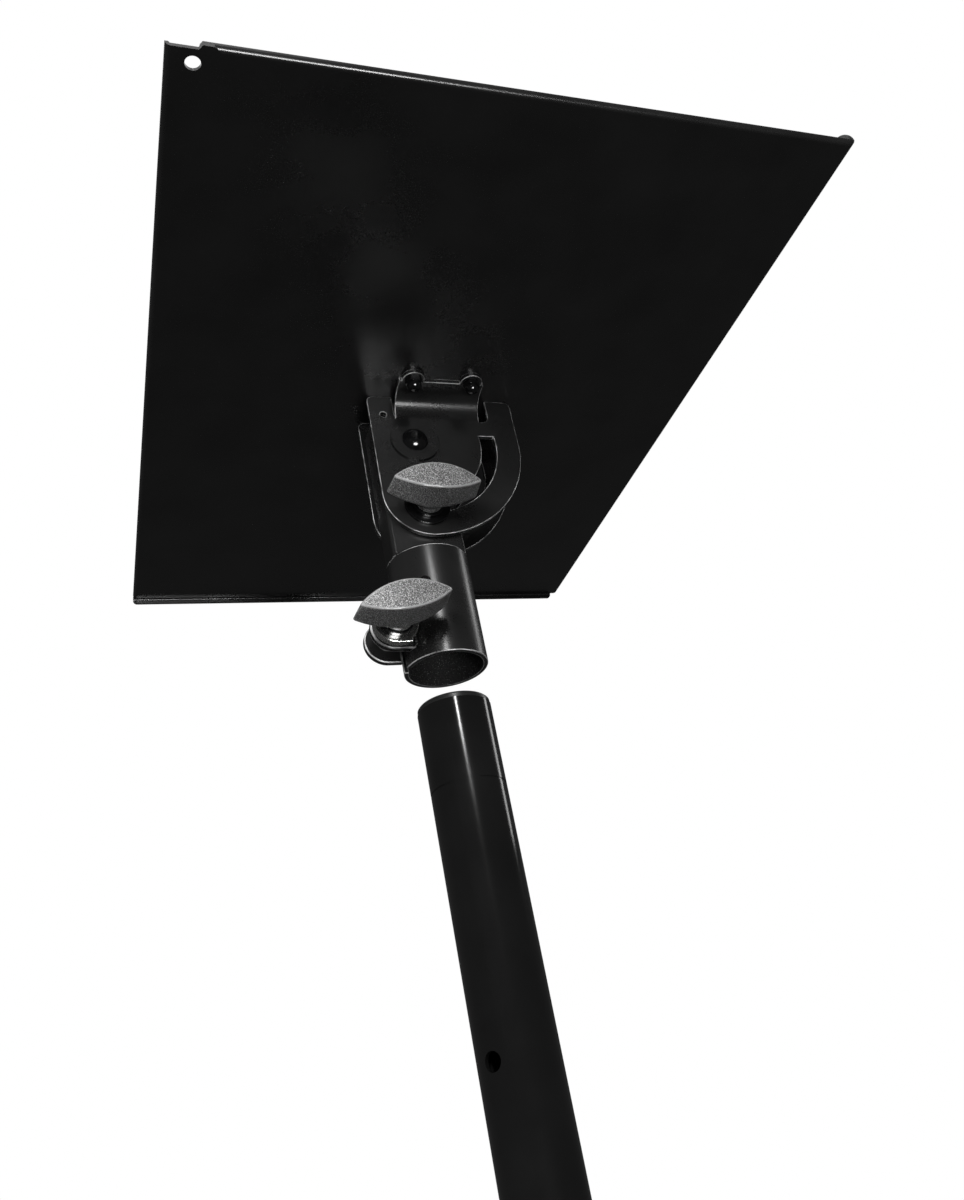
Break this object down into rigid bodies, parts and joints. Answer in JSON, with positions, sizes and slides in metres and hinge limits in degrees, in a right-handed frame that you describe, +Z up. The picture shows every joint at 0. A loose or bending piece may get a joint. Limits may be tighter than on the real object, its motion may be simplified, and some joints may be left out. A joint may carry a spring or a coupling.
{
  "type": "teleprompter tray head on pole",
  "caption": "Tilting sheet-steel tray on a slotted bracket with a split clamp socket and wing knobs, above the 35 mm pole it fits.",
  "frame": {"origin": "centre of the pole's lower end", "axes": "+Z up the pole to the tray, +X towards the tray's device ledge, -Y the side with both wing knobs"},
  "size_m": [0.3, 0.4, 0.692],
  "materials": {
    "head_paint": "satin",
    "pole_paint": "semi-gloss",
    "black_fastener": "gloss",
    "zinc": "satin",
    "knob_plastic": "matte",
    "cap_plastic": "satin",
    "nylon": "satin"
  },
  "bodies": {
    "pole": {"pole_tube": "pole_paint", "pole_top_cap": "cap_plastic", "pole_foot_plug": "cap_plastic"},
    "socket": {"socket_tube": "head_paint", "socket_top_disc": "head_paint", "neck": "head_paint", "clamp_lug_front": "head_paint", "clamp_plate": "zinc", "clamp_lug_rear": "head_paint", "clamp_bolt": "black_fastener", "clamp_washers": "black_fastener", "socket_rivet": "black_fastener", "pivot_bolt": "black_fastener", "pivot_nut": "black_fastener", "pivot_washers": "head_paint", "friction_washers": "nylon", "lock_bolt": "black_fastener", "lock_washers": "black_fastener"},
    "tray": {"tray_plate": "head_paint", "tray_ledge": "head_paint", "ear_front": "head_paint", "ear_rear": "head_paint", "foot_screws": "black_fastener", "foot_nuts": "black_fastener"},
    "tilt_knob": {"tilt_knob_wing": "knob_plastic", "tilt_knob_insert": "zinc"},
    "clamp_knob": {"clamp_knob_wing": "knob_plastic", "clamp_knob_insert": "zinc"}
  },
  "joints": [
    {"name": "head_slide", "type": "slide", "parent": "pole", "child": "socket", "axis": [0, 0, 1], "range_m": [-0.0745, 0]},
    {"name": "tray_tilt", "type": "hinge", "parent": "socket", "child": "tray", "pos_m": [0.0015, 0, 0.65], "axis": [0, 1, 0], "range_deg": [0, 90]},
    {"name": "tilt_knob_turn", "type": "hinge", "parent": "socket", "child": "tilt_knob", "pos_m": [0.0015, -0.03, 0.609], "axis": [0, -1, 0], "range_deg": [0, 450]},
    {"name": "clamp_knob_turn", "type": "hinge", "parent": "socket", "child": "clamp_knob", "pos_m": [-0.0265, -0.03, 0.539], "axis": [0, -1, 0], "range_deg": [0, 450]}
  ]
}
